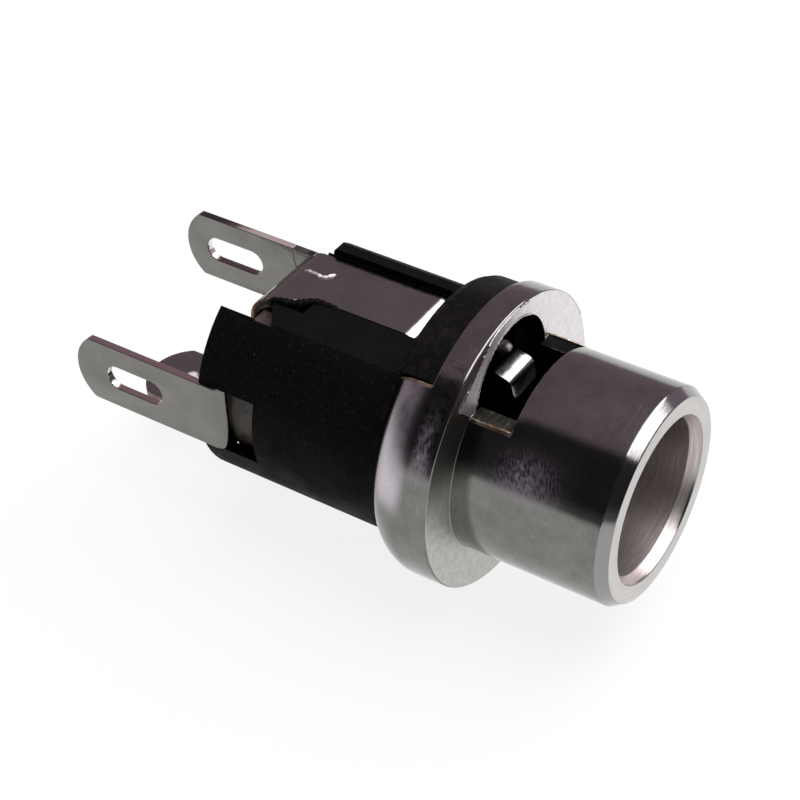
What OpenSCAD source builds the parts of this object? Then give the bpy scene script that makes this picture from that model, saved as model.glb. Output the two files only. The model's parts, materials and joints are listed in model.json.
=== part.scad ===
// DC power jack for panel or bulkhead use: turned metal bushing with a saw-cut window,
// moulded insulator crimped into its flange, centre pin and three solder lugs.
// Millimetres. X runs along the socket towards the mouth, Z is the window side.
// The origin is the centre of the flange's front (panel) face.

/* [Barrel] */
// outside diameter of the smooth barrel
barrel_d = 8; // [7:0.1:9.5]
// length of the barrel in front of the flange
barrel_len = 5.94; // [5:0.02:10]
// bore of the mouth, for a plug sleeve
bore_d = 5.8; // [5.6:0.1:6.2]
// length of the full-diameter lip of the mouth
lip_len = 2.4; // [1.5:0.1:3.5]
// outer chamfer of the mouth, along the axis
mouth_ch_len = 0.4; // [0.1:0.05:0.8]
// outer chamfer of the mouth, across
mouth_ch_in = 0.26; // [0.1:0.02:0.5]
// countersink of the mouth, along the axis
sink_len = 0.41; // [0.1:0.01:0.8]
// countersink of the mouth, across
sink_out = 0.2; // [0.05:0.01:0.3]
// wall of the barrel behind the lip
barrel_wall = 0.43; // [0.35:0.01:0.7]

/* [Flange] */
// outside diameter of the flange
flange_d = 11.14; // [10:0.02:14]
// length of the flange with its crimped skirt
flange_len = 2.62; // [2.5:0.02:4]
// thickness of the flange's front web
web_t = 0.9; // [0.6:0.05:1.2]
// thickness of the skirt's wall
skirt_t = 0.45; // [0.35:0.05:0.6]
// outside radius of the rolled skirt
crimp_r = 1.55; // [1.4:0.05:1.8]
// break of the flange's front edge
edge_break = 0.13; // [0.05:0.01:0.2]
// where the skirt is left open for the spring: end angle on the near side
gap_near_deg = 37.5; // [30:0.5:60]
// end angle of the same gap on the far side
gap_far_deg = 52; // [30:1:70]
// flange metal left in front of the gap
gap_front = 1.02; // [0.95:0.01:1.5]

/* [Saw-cut window] */
// height of the cut's floor above the axis
cut_z = 2.97; // [2.6:0.01:3.4]
// how far the cut reaches along the barrel
cut_len = 1.57; // [1:0.01:2.5]
// how much the cutter shaves off the flange's face
cut_shave = 0.08; // [0.02:0.01:0.3]
// how far the cutter stood out of square
cut_skew_deg = 1.2; // [0:0.1:1.2]
// radius of the spring's pocket through the flange's web
pocket_r = 2.35; // [1.8:0.05:2.6]
// height of the pocket's centre
pocket_z = 2.3; // [1.8:0.05:2.6]

/* [Insulator] */
// diameter of the moulded body
body_d = 9.2; // [8.4:0.1:9.8]
// where the spring's rear corner lies, behind the flange face
deck_end = 8.75; // [8:0.05:11]
// how far the body's rim reaches, behind the flange face
rim_end = 10.2; // [9.6:0.1:13]
// thickness of the rim at the rear
rim_t = 0.5; // [0.4:0.05:0.8]
// height of the flat deck beside the spring
deck_z = 3.7; // [3.4:0.05:4]
// where the rim is cut back, to the near side of the axis
deck_y = 2.75; // [2.2:0.05:3.2]
// how much the far rail stands above the deck
rail_h = 0.27; // [0.1:0.01:0.5]
// diameter of the socket's floor
socket_d = 5.9; // [5.7:0.1:6.3]
// depth of the socket behind the flange face
socket_deep = 3.9; // [3.5:0.1:5]
// radius of the key that fills the skirt's gap
key_r = 5.34; // [5:0.02:5.5]
// rear end of that key
key_end = 2.6; // [2.3:0.05:3]
// width of the near lug's notch
notch_w = 2.72; // [2.5:0.02:3.2]
// front end of the near lug's notch
notch_front = 7.8; // [7.5:0.05:8]

/* [Contacts] */
// thickness of the stamped strip
strip_t = 0.3; // [0.26:0.02:0.5]
// width of the spring along the deck
spring_w = 2.5; // [2:0.05:3]
// how far the spring's middle stands to the far side
spring_y = 0.5; // [0:0.05:0.8]
// width of the spring's front end
tip_w = 1.95; // [1.4:0.05:2.4]
// radius of the roll over the body's rear corner
roll_r = 1.1; // [0.8:0.05:1.3]
// width of a solder lug
lug_w = 2.72; // [2.4:0.02:3]
// length of a lug's eye
eye_len = 2.55; // [1.5:0.05:3]
// width of a lug's eye
eye_w = 1; // [0.8:0.05:1.4]
// where the pin's lug and the switch's lug end
lug_end = 15.85; // [14:0.05:20]
// how much shorter the spring's lug is
far_short = 0.8; // [0:0.05:1.5]
// height of the pin's lug above the body's surface at its middle
near_proud = -0.1; // [-0.2:0.02:0.1]
// depth of the switch's lug below the axis
low_z = 3.05; // [2.8:0.05:3.2]

/* [Centre pin] */
// diameter of the centre pin
pin_d = 2.1; // [1.9:0.05:2.5]
// how far the pin's tip stands behind the mouth
pin_back = 2.64; // [2.5:0.02:3.5]
// diameter of the pin's collar
collar_d = 3.2; // [2.8:0.1:3.6]
// diameter of the pin's shank
shank_d = 2; // [1.6:0.1:2.2]
// diameter of the pin's riveted end
rivet_d = 2.2; // [1.9:0.1:2.4]
// thickness of the insulating washer
washer_t = 0.95; // [0.6:0.05:1.2]

/* [Hidden] */
$fn = 96;
eps = 0.01;
big = 40;
fit = 0.05;                       // clearance around seated parts
r_b = barrel_d / 2;
r_o = bore_d / 2;
r_c = r_b - barrel_wall;          // cavity behind the lip
r_f = flange_d / 2;
r_k = r_f - skirt_t;              // inside of the skirt
crimp_x = -flange_len + sqrt(pow(crimp_r, 2) - pow(crimp_r - r_f + body_d / 2 + 0.1, 2));
r_body = body_d / 2;
web_x = -web_t;
lip_x = barrel_len - lip_len;
cut_deg = acos(cut_z / r_b) - 0.05; // half of the angle that the cutter opens
seat_x = -(deck_end - 0.6);       // floor that the rear stack sits on
wash_x = seat_x - washer_t;       // rear face of the washer
plate_x = wash_x - strip_t;       // rear face of the pin terminal's plate
cup_r = r_body - rim_t;
near_y = -(r_body + near_proud);  // outer face of the near lug
strip_y0 = spring_y - spring_w / 2;
strip_y1 = spring_y + spring_w / 2;
wide_y0 = strip_y0 - 0.85;        // the spring's wider root
roll_x = -deck_end;               // where the roll starts
hang_x = roll_x - roll_r;         // rear face of the hanging plate
rail_x = roll_x + 0.2;            // rear end of the rail
wash_z = 3.25;                    // top of the washer at the deck's near corner
key_end_x = -key_end;
tip_y0 = spring_y - tip_w / 2;
finger_w = spring_w - 0.7;
finger_z = deck_z - strip_t;      // the spring's underside
finger_x = -5.5;                  // front end of the switch's finger
hang_z = 1.5;                     // lower edge of the hanging plate
eye_near = 1.4;                   // from a lug's end to its eye
eye_far = 0.95;
low_y = -0.2;                     // middle of the switch's lug
low_w = lug_w + 0.28;
plate_r = 2.5;                    // plate around the pin
tenon_r = 0.75;                   // riveted end of the pin inside its plate

// ---------- helpers ----------
// turned shape from a profile of [x, radius]
module turned(profile) {
    rotate([0, 90, 0]) rotate([0, 0, 90]) rotate_extrude()
        polygon([for (q = profile) [q[1], q[0]]]);
}
// round bar along X
module bar(x0, x1, r) {
    translate([x0, 0, 0]) rotate([0, 90, 0]) cylinder(h = x1 - x0, r = r);
}
// box between two corners
module box(a, b) {
    translate(a) cube([b[0] - a[0], b[1] - a[1], b[2] - a[2]]);
}
// slice of a circle around X, from angle a0 to a1, measured from Z towards the near side
module sector(x0, x1, a0, a1) {
    translate([x0, 0, 0]) rotate([90, 0, 90]) linear_extrude(height = x1 - x0)
        polygon(concat([[0, 0]], [for (i = [0:4])
            let (a = a0 + (a1 - a0) * i / 4) [-big * sin(a), big * cos(a)]]));
}
// part of a ring about Y: centre at the origin, from straight up, turning towards +X
module ring_y(r0, r1, ang, w) {
    intersection() {
        rotate([90, 0, 0]) difference() {
            cylinder(h = w, r = r1, center = true);
            cylinder(h = w + 1, r = r0, center = true);
        }
        rotate([90, 0, 0]) linear_extrude(height = w + 1, center = true)
            polygon([[0, 0], [0, 4 * r1], [4 * r1 * sin(ang / 2), 4 * r1 * cos(ang / 2)],
                     [4 * r1 * sin(ang), 4 * r1 * cos(ang)]]);
    }
}
// strip of metal that is laid out step by step; its top face starts on the plane z = 0.
// A step is [length, 0, width] or [angle, radius of the top face, width];
// a minus angle bends upwards.
module leaf(steps, t, i = 0) {
    if (i < len(steps)) {
        s = steps[i];
        if (s[1] == 0) {
            box([-eps, -s[2] / 2, -t], [s[0], s[2] / 2, 0]);
            translate([s[0], 0, 0]) leaf(steps, t, i + 1);
        } else if (s[0] > 0) {
            translate([0, 0, -s[1]]) ring_y(s[1] - t, s[1], s[0], s[2]);
            translate([s[1] * sin(s[0]), 0, -s[1] * (1 - cos(s[0]))])
                rotate([0, s[0], 0]) leaf(steps, t, i + 1);
        } else {
            translate([0, 0, s[1]]) mirror([0, 0, 1]) ring_y(s[1], s[1] + t, -s[0], s[2]);
            translate([s[1] * sin(-s[0]), 0, s[1] * (1 - cos(s[0]))])
                rotate([0, s[0], 0]) leaf(steps, t, i + 1);
        }
    }
}
// quarter bend about the line through c, seen along Z: outside corner towards sx, sy
module quarter(c, r, t, sx, sy, z0, z1) {
    translate([c[0], c[1], z0]) intersection() {
        difference() {
            cylinder(h = z1 - z0, r = r);
            translate([0, 0, -1]) cylinder(h = z1 - z0 + 2, r = r - t);
        }
        scale([sx, sy, 1]) translate([0, 0, -1]) cube([r + 1, r + 1, z1 - z0 + 2]);
    }
}
// flat lug in the XY plane: rounded end at x = -len, eye behind it, root at x = 0
module lug(len, w, t, eye_gap) {
    end_r = 0.62 * w;
    nose = end_r - sqrt(end_r * end_r - w * w / 4 + 0.02);
    difference() {
        intersection() {
            box([-len, -w / 2, 0], [0, w / 2, t]);
            union() {
                translate([-len + end_r, 0, -1]) cylinder(h = t + 2, r = end_r);
                box([-len + nose + 0.35, -w, -1], [1, w, t + 1]);
            }
        }
        translate([-len + eye_gap + eye_w / 2, 0, -1]) cylinder(h = t + 2, r = eye_w / 2);
        translate([-len + eye_gap + eye_len - eye_w / 2, 0, -1]) cylinder(h = t + 2, r = eye_w / 2);
        box([-len + eye_gap + eye_w / 2, -eye_w / 2, -1],
            [-len + eye_gap + eye_len - eye_w / 2, eye_w / 2, t + 1]);
    }
}

// ---------- metal bushing ----------
module bushing_blank() {
    // the skirt is rolled in until it meets the insulator
    roll_deg = acos(1 - (r_f - r_body - 0.1) / crimp_r);
    crimp = [for (i = [0:10]) let (a = 90 + roll_deg * i / 10)
        [crimp_x + crimp_r * cos(a), r_f - crimp_r + crimp_r * sin(a)]];
    turned(concat(
        [[web_x, r_c], [lip_x, r_c], [lip_x, r_o], [barrel_len - sink_len, r_o],
         [barrel_len, r_o + sink_out], [barrel_len, r_b - mouth_ch_in],
         [barrel_len - mouth_ch_len, r_b], [0, r_b], [0, r_f - edge_break],
         [-0.1, r_f - 0.3 * edge_break], [-0.4, r_f]],
        crimp,
        [[-flange_len, r_body + fit], [crimp_x - 0.95, r_body + fit],
         [crimp_x - 0.2, r_k], [web_x, r_k]]));
}
module bushing() {
    color("silver") difference() {
        bushing_blank();
        // path of the cutter, a little out of square, across the barrel's wall and the flange's face
        intersection() {
            rotate([0, 0, -cut_skew_deg]) box([-cut_shave, -big, 0], [big, big, big]);
            union() {
                intersection() {
                    box([-1, -big, cut_z], [cut_len, big, big]);
                    bar(-2, cut_len + 1, r_b + 0.02);
                }
                difference() {
                    sector(-1, 0.5, -cut_deg, cut_deg);
                    bar(-2, 1, r_b);
                }
            }
        }
        // pocket for the spring through the web
        translate([0, spring_y, pocket_z]) bar(-web_t - 0.3, 0.5, pocket_r);
        // open part of the skirt
        sector(-flange_len - 1, -gap_front, -gap_far_deg, gap_near_deg);
    }
}

// ---------- moulded insulator ----------
module body_outside() {
    difference() {
        union() {
            bar(-rim_end, -1.5, r_body);
            turned([[crimp_x - 1, 0], [crimp_x - 1, r_body - fit], [crimp_x - 0.9, r_body],
                    [crimp_x - 0.2, r_k - fit], [web_x, r_k - fit], [web_x, 0]]);
            intersection() {
                union() {
                    bar(key_end_x + 0.3, -gap_front, key_r);
                    turned([[key_end_x, 0], [key_end_x, key_r - 0.3], [key_end_x + 0.09, key_r - 0.09],
                            [key_end_x + 0.3, key_r], [key_end_x + 0.3, 0]]);
                }
                sector(key_end_x - 1, 0, -gap_far_deg + 1, gap_near_deg - 1);
            }
        }
        // deck beside the spring, and the rail that is left above it
        box([-big, -big, deck_z], [key_end_x, strip_y1 + fit + 0.08, big]);
        box([-big, strip_y1, deck_z + rail_h], [key_end_x, big, big]);
    }
}
module rear_cuts() {
    // rim cut back around the spring and the far lug
    box([-big, -deck_y, 0.3], [roll_x, big, big]);
    // rounded rear end of the rail
    difference() {
        box([roll_x - 1, strip_y1 + fit + 0.08, deck_z - 0.6], [rail_x + 0.18, big, big]);
        translate([rail_x + 0.18, 0, deck_z + rail_h - 0.18]) rotate([90, 0, 0])
            cylinder(h = 2 * big, r = 0.18, center = true);
        box([rail_x, 0, -big], [big, big, deck_z + rail_h - 0.18]);
    }
    // cup that takes the rear stack
    difference() {
        bar(-rim_end - 1, seat_x, cup_r);
        box([roll_x, wide_y0 - fit, 2.7], [0, big, big]);
        box([roll_x, -big, wash_z + fit], [0, big, big]);
    }
    // oblique cut at the deck's near corner
    translate([0, 0, wash_z - fit]) linear_extrude(height = 2)
        polygon([[roll_x - eps, wide_y0], [roll_x + 0.75, -deck_y - fit], [roll_x - eps, -deck_y - fit]]);
    // notch for the near lug
    box([-big, -big, -notch_w / 2], [-notch_front, -cup_r + 0.5, notch_w / 2]);
}
module insulator() {
    color("dimgray") difference() {
        body_outside();
        rear_cuts();
        // socket and the seats of the pin
        bar(-socket_deep, 1, socket_d / 2);
        bar(-socket_deep - 0.7, 0, collar_d / 2);
        bar(-big, 0, shank_d / 2);
        // channel of the spring on the deck
        box([-big, strip_y0 - fit, finger_z], [key_end_x, strip_y1 + fit, big]);
        box([-big, wide_y0 - fit, finger_z], [roll_x + 1.3, spring_y, big]);
        // passage of the spring under the skirt and into the socket
        box([-3.6, strip_y0 - fit, 1.8], [0, strip_y1 + fit, deck_z]);
        // seats of the switch's plate, lug and finger
        bar(seat_x - 1, seat_x + strip_t, plate_r + fit);
        box([-big, low_y - low_w / 2 - fit, -low_z - strip_t - fit],
            [seat_x + strip_t, low_y + low_w / 2 + fit, -1.5]);
        box([seat_x - eps, spring_y - finger_w / 2 - fit, 1.2],
            [seat_x + strip_t + 0.2, spring_y + finger_w / 2 + fit, finger_z]);
        box([seat_x - eps, spring_y - finger_w / 2 - fit, finger_z - strip_t],
            [finger_x + 0.1, spring_y + finger_w / 2 + fit, finger_z + eps]);
    }
}

// ---------- insulating washer ----------
module washer() {
    color("sienna") difference() {
        bar(wash_x, seat_x, cup_r - fit);
        box([-big, -big, wash_z], [0, big, big]);
        box([-big, wide_y0 - 2 * fit, 2.65], [0, big, big]);
        box([-big, low_y - low_w / 2 - fit, -big], [0, low_y + low_w / 2 + fit, -low_z + 0.25]);
        bar(-big, 0, shank_d / 2);
    }
}

// ---------- centre pin ----------
module pin() {
    tip = barrel_len - pin_back;
    r = pin_d / 2;
    color("gold") difference() {
        turned([[plate_x, 0], [plate_x, tenon_r], [wash_x, tenon_r], [wash_x, shank_d / 2],
                [-socket_deep - 0.7, shank_d / 2], [-socket_deep - 0.7, collar_d / 2],
                [-socket_deep, collar_d / 2], [-socket_deep, r],
                [tip - 0.5, r], [tip - 0.2, r - 0.12], [tip, r - 0.4], [tip, 0]]);
        bar(tip - 0.3, tip + 1, 0.3);
    }
    color("gold") turned([[plate_x, 0], [plate_x, rivet_d / 2], [plate_x - 0.12, rivet_d / 2 - 0.05],
                          [plate_x - 0.27, rivet_d / 2 - 0.35], [plate_x - 0.34, 0.4], [plate_x - 0.34, 0]]);
}

// ---------- pin terminal: near lug and its plate ----------
module pin_lug() {
    r = strip_t + 0.2;
    color("lightgray") difference() {
        union() {
            // lug that runs back through the notch
            translate([wash_x - r, near_y + strip_t, 0]) rotate([90, 0, 0])
                lug(lug_end + wash_x - r, lug_w, strip_t, eye_near);
            quarter([wash_x - r, near_y + r], r, strip_t, 1, -1, -lug_w / 2, lug_w / 2);
            // plate across the washer
            box([plate_x, near_y + r, -lug_w / 2], [wash_x, 0, lug_w / 2]);
            bar(plate_x, wash_x, lug_w / 2);
        }
        bar(-big, 0, tenon_r);
    }
}

// ---------- spring terminal: contact, roll and far lug ----------
module spring() {
    r = strip_t + 0.25;
    fold_x = hang_x + strip_t - r;
    lug_mid = deck_z - 0.06 - lug_w / 2;
    color("lightgray") union() {
        // along the deck, down into the socket, up to the window and over its end
        translate([roll_x, spring_y, deck_z])
            leaf([[deck_end - 3.45, 0, spring_w], [50, 0.8, spring_w], [0.31, 0, spring_w],
                  [-66, 0.9, tip_w], [1.22, 0, tip_w], [33, strip_t + 0.05, tip_w], [0.44, 0, tip_w],
                  [60, strip_t + 0.05, tip_w], [0.5, 0, tip_w]], strip_t);
        // wider root
        translate([0, 0, deck_z - strip_t]) linear_extrude(height = strip_t)
            polygon([[roll_x, wide_y0], [roll_x + 0.3, wide_y0 + 0.12], [roll_x + 0.55, wide_y0 + 0.45],
                     [roll_x + 1.3, strip_y0], [roll_x + 1.3, spring_y], [roll_x, spring_y]]);
        // roll over the rear corner
        translate([roll_x, (wide_y0 + strip_y1) / 2, deck_z]) rotate([0, 0, 180])
            leaf([[90, roll_r, strip_y1 - wide_y0]], strip_t);
        // hanging plate and the fold to the lug
        box([hang_x, wide_y0, hang_z], [hang_x + strip_t, strip_y1 - r, deck_z - roll_r]);
        box([hang_x, 1.15, lug_mid - lug_w / 2], [hang_x + strip_t, strip_y1 - r, hang_z + eps]);
        quarter([fold_x, strip_y1 - r], r, strip_t, 1, 1, lug_mid - lug_w / 2, deck_z - roll_r);
        // far lug
        translate([fold_x, strip_y1, lug_mid]) rotate([90, 0, 0])
            lug(lug_end - far_short + fold_x, lug_w, strip_t, eye_far);
        box([fold_x - eps, strip_y1 - strip_t, lug_mid - lug_w / 2],
            [wash_x - fit, strip_y1, lug_mid + lug_w / 2]);
        // pressed rib that stiffens the root
        intersection() {
            translate([roll_x + 0.1, spring_y + 0.25, deck_z - 0.33]) rotate([0, 90, -8]) {
                cylinder(h = 0.8, r = 0.45);
                sphere(r = 0.45);
                translate([0, 0, 0.8]) sphere(r = 0.45);
            }
            box([-big, -big, finger_z + 0.1], [0, big, big]);
        }
    }
}

// ---------- switch terminal: low lug, plate around the pin, finger under the spring ----------
module switch_lug() {
    r = strip_t + 0.2;
    x1 = seat_x + strip_t;
    color("lightgray") difference() {
        union() {
            translate([x1 - r, low_y, -low_z - strip_t])
                lug(lug_end + 0.1 + x1 - r, low_w, strip_t, eye_near);
            translate([0, low_y, 0]) rotate([90, 0, 0])
                quarter([x1 - r, -low_z - strip_t + r], r, strip_t, 1, -1, -low_w / 2, low_w / 2);
            box([seat_x, low_y - low_w / 2, -low_z - strip_t + r], [x1, low_y + low_w / 2, -1.5]);
            bar(seat_x, x1, plate_r);
            box([seat_x, spring_y - finger_w / 2, 1.2], [x1, spring_y + finger_w / 2, finger_z - r]);
            translate([0, spring_y, 0]) rotate([90, 0, 0])
                quarter([seat_x + r, finger_z - r], r, strip_t, -1, 1, -finger_w / 2, finger_w / 2);
            box([seat_x + r, spring_y - finger_w / 2, finger_z - strip_t],
                [finger_x, spring_y + finger_w / 2, finger_z]);
        }
        bar(-big, 0, plate_r - 0.7);
    }
}

bushing();
insulator();
washer();
pin();
pin_lug();
spring();
switch_lug();
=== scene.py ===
# Looks of the DC power jack: turned bushing, moulded insulator, contacts and washer.
import json
import math
from types import SimpleNamespace

import bmesh
import bpy
from mathutils import Matrix, Vector


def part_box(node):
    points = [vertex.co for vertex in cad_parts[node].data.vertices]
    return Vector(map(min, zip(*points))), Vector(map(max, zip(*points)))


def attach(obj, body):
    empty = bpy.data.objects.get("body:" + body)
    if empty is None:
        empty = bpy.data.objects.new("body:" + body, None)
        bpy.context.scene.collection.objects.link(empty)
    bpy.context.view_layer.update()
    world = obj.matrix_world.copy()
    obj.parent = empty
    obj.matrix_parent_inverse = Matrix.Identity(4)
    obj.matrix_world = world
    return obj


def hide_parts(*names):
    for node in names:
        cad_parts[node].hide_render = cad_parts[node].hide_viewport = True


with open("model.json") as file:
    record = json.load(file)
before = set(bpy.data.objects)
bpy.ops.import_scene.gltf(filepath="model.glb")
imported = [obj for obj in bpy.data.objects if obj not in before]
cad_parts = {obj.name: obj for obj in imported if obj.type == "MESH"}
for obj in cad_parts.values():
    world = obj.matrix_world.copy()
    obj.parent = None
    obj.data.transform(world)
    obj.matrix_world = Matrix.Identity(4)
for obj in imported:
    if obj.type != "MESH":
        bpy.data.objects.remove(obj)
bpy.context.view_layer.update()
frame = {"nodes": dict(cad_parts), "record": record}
nodes = frame["nodes"]
scene = bpy.context.scene
MM = 0.001


# ---------- sizes in mm, from the frame or as in the CAD source ----------
lo_b, hi_b = [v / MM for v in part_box("bushing")]
BARREL = hi_b.x                 # length of the barrel, from the front face of the flange
FLANGE = -lo_b.x                # depth of the flange and its crimped rim
R_F = hi_b.y - 0.0015           # radius of the flange, a hair inside the solid's
R_B = 4.0                       # radius of the barrel
T = 0.3                         # thickness of the strips
DECK = 3.7                      # height of the insulator's deck and of the spring's top on it
ROLL_X, ROLL_R = -8.75, 1.1     # start and radius of the roll behind the spring's root
HANG_X = ROLL_X - ROLL_R        # rear face of the spring's hanging plate
STRIP = (-0.75, 1.75)           # sides of the spring
WIDE = -1.6                     # near side of the spring's wide root
LUG_W = 2.72                    # width of the lugs
EYE_W, EYE_L = 1.0, 2.55        # width and length of their eyes
LUG_END = 15.85                 # how far behind the flange's face the pin's lug ends
SPRING_END = LUG_END - 0.8      # the same for the spring's lug
SWITCH_END = LUG_END + 0.09     # and for the switch's
SEAT_X = -8.15                  # rear face of the switch contact's ring, where the washer sits
WASH_X = -9.1                   # rear face of the washer
NEAR_Y = -4.5                   # outer face of the pin's lug
LOW_Z, LOW_Y, LOW_W = 3.05, -0.2, 3.0  # depth, middle and width of the switch lug

# the window in the top of the bushing; its pocket and its milled face aren't quite the CAD's
CUT_Z, CUT_X = 2.97, 1.57       # height of its floor and place of its end wall
POCKET_Y, POCKET_Z, POCKET_R = 0.06, 2.72, 2.33  # centre and radius of the pocket in the flange
RUN_Y, RUN_Z = -3.42, 3.71      # a point on the line where the milled face runs out
RUN_ACROSS = (0.566, -0.824)    # direction across that line, as (y, z)


# ---------- camera ----------
def place_camera(az, el, roll, aim, dist, lens):
    a, e, r = math.radians(az), math.radians(el), math.radians(roll)
    back = Vector((math.sin(a) * math.cos(e), -math.cos(a) * math.cos(e), math.sin(e)))
    right = Vector((0, 0, 1)).cross(back).normalized()
    up = back.cross(right)
    right_r = right * math.cos(r) + up * math.sin(r)
    up_r = up * math.cos(r) - right * math.sin(r)
    m = Matrix((right_r, up_r, back)).transposed().to_4x4()
    m.translation = (Vector(aim) + back * dist) * MM
    data = bpy.data.cameras.new("camera")
    data.sensor_width = 36
    data.lens = lens
    data.clip_start = 0.001
    data.clip_end = 10
    cam = bpy.data.objects.new("camera", data)
    cam.matrix_world = m
    scene.collection.objects.link(cam)
    scene.camera = cam


place_camera(33.76, 39.47, -1.39, (-3.81, -1.138, 1.002), 70.6, 90.33)


# ---------- node helpers ----------
class Tree:
    """Short calls for building a node tree."""

    def __init__(self, owner):
        owner.use_nodes = True
        self.t = owner.node_tree
        self.t.nodes.clear()

    def add(self, kind, **sockets):
        n = self.t.nodes.new(kind)
        for k, v in sockets.items():
            if k.startswith("_"):
                setattr(n, k[1:], v)
            else:
                self.put(n, k.replace("__", " "), v)
        return n

    def put(self, n, key, v):
        s = n.inputs[int(key[1:])] if key[0] == "i" and key[1:].isdigit() else n.inputs[key]
        if isinstance(v, bpy.types.NodeSocket):
            self.t.links.new(v, s)
        else:
            s.default_value = v

    def math(self, op, a, b=0.0):
        return self.add("ShaderNodeMath", _operation=op, i0=a, i1=b).outputs[0]

    def plus(self, a, b):
        return self.math("ADD", a, b)

    def minus(self, a, b):
        return self.math("SUBTRACT", a, b)

    def times(self, a, b):
        return self.math("MULTIPLY", a, b)

    def either(self, a, b):
        return self.math("MAXIMUM", a, b)

    def ramp(self, x, lo, hi, a=0.0, b=1.0):
        """Smooth step from a at lo to b at hi."""
        return self.add("ShaderNodeMapRange", _interpolation_type="SMOOTHSTEP", Value=x,
                        From__Min=lo, From__Max=hi, To__Min=a, To__Max=b).outputs["Result"]

    def mix(self, f, a, b):
        """Colour a where f is 0 and b where it is 1."""
        return self.add("ShaderNodeMix", _data_type="RGBA", i0=f, i6=a, i7=b).outputs[2]

    def blend(self, f, a, b):
        """Number a where f is 0 and b where it is 1."""
        return self.add("ShaderNodeMix", _data_type="FLOAT", i0=f, i2=a, i3=b).outputs[0]

    def noise(self, vec, scale, detail, rough):
        return self.add("ShaderNodeTexNoise", Vector=vec, Scale=scale, Detail=detail,
                        Roughness=rough).outputs["Fac"]

    def grain(self, x, y, z, detail, rough):
        """Noise over three values, so that it can be drawn out along one of them."""
        vec = self.add("ShaderNodeCombineXYZ", X=x, Y=y, Z=z).outputs[0]
        return self.noise(vec, 1.0, detail, rough)

    def split(self, vec):
        return self.add("ShaderNodeSeparateXYZ", Vector=vec).outputs


def rgb(r, g, b):
    return (r, g, b, 1.0)


# ---------- world, lamp, floor ----------
def build_world():
    w = bpy.data.worlds.new("studio")
    scene.world = w
    t = Tree(w)
    x, y, z = t.split(t.add("ShaderNodeTexCoord").outputs["Generated"])
    edge = t.plus(t.plus(y, t.times(z, 0.3)), t.times(x, -0.1))
    far = t.ramp(edge, -0.1, 0.1)
    near = t.mix(t.ramp(z, 0.02, 0.25), rgb(0.16, 0.155, 0.16), rgb(0.04, 0.037, 0.042))
    col = t.mix(far, near, rgb(0.36, 0.275, 0.325))
    bg = t.add("ShaderNodeBackground", Color=col, Strength=1.0)
    t.add("ShaderNodeOutputWorld", Surface=bg.outputs[0])


def build_lamp():
    """A softbox above and beyond the part; h is its height in metres."""
    h = 0.3
    radiance = 4.8
    data = bpy.data.lights.new("softbox", "AREA")
    data.shape = "RECTANGLE"
    data.size = 1.16 * h
    data.size_y = 2.1 * h
    data.energy = radiance * math.pi * data.size * data.size_y
    o = bpy.data.objects.new("softbox", data)
    o.location = (0.315 * h, 0.76 * h, h)
    o.rotation_euler = (0, 0, math.radians(5.7))
    scene.collection.objects.link(o)


def build_floor():
    """White to the camera and to reflections; a plain matt sheet to all other light."""
    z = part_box("bushing")[0].z - 0.00002
    mesh = bpy.data.meshes.new("floor")
    s = 3.0
    mesh.from_pydata([(-s, -s, z), (s, -s, z), (s, s, z), (-s, s, z)], [], [(0, 1, 2, 3)])
    o = bpy.data.objects.new("floor", mesh)
    scene.collection.objects.link(o)
    m = bpy.data.materials.new("floor")
    t = Tree(m)
    lp = t.add("ShaderNodeLightPath").outputs
    seen = t.either(t.either(lp["Is Camera Ray"], lp["Is Glossy Ray"]), lp["Is Transmission Ray"])
    x, y, _ = t.split(t.add("ShaderNodeTexCoord").outputs["Object"])
    away = t.math("SQRT", t.plus(t.times(x, x), t.times(y, y)))
    fade = t.ramp(away, 0.05, 0.3, 1.0, 0.45)
    plain = t.add("ShaderNodeBsdfDiffuse", Color=rgb(0.8, 0.8, 0.79))
    soft = t.add("ShaderNodeBsdfDiffuse", Color=rgb(0.1, 0.1, 0.1))
    glow = t.add("ShaderNodeEmission", Color=rgb(1, 1, 1), Strength=t.times(fade, 0.865))
    shown = t.add("ShaderNodeAddShader", i0=soft.outputs[0], i1=glow.outputs[0])
    out = t.add("ShaderNodeMixShader", i0=seen, i1=plain.outputs[0], i2=shown.outputs[0])
    t.add("ShaderNodeOutputMaterial", Surface=out.outputs[0])
    mesh.materials.append(m)


build_world()
build_lamp()
build_floor()


# ---------- mesh helpers, all in millimetres until a piece is finished ----------
def rounded(points, steps=5):
    """Closed 2-D outline from (a, b) or (a, b, radius) points, with those corners rounded."""
    out, n = [], len(points)
    for i in range(n):
        p = Vector(points[i][:2])
        r = points[i][2] if len(points[i]) > 2 else 0
        if r <= 0:
            out.append(tuple(p))
            continue
        u = Vector(points[i - 1][:2]) - p
        v = Vector(points[(i + 1) % n][:2]) - p
        half = u.angle(v) / 2
        d = min(r / math.tan(half), 0.45 * u.length, 0.45 * v.length)
        r = d * math.tan(half)
        u.normalize()
        v.normalize()
        c = p + (u + v).normalized() * (r / math.sin(half))
        a0 = math.atan2(*reversed((p + u * d - c)[:]))
        a1 = math.atan2(*reversed((p + v * d - c)[:]))
        da = (a1 - a0 + math.pi) % (2 * math.pi) - math.pi
        out += [(c.x + r * math.cos(a0 + da * k / steps), c.y + r * math.sin(a0 + da * k / steps))
                for k in range(steps + 1)]
    return out


def dense(points, step=0.5, guard=0.04):
    """The outline with more points on its long sides, and one close to each of their ends."""
    out, n = [], len(points)
    for i in range(n):
        p, q = Vector(points[i]), Vector(points[(i + 1) % n])
        length = (q - p).length
        out.append(tuple(p))
        if length > 4 * guard:
            inner = length - 2 * guard
            k = max(1, round(inner / step))
            out += [tuple(p + (q - p) * ((guard + inner * j / k) / length)) for j in range(k + 1)]
    return out


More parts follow.
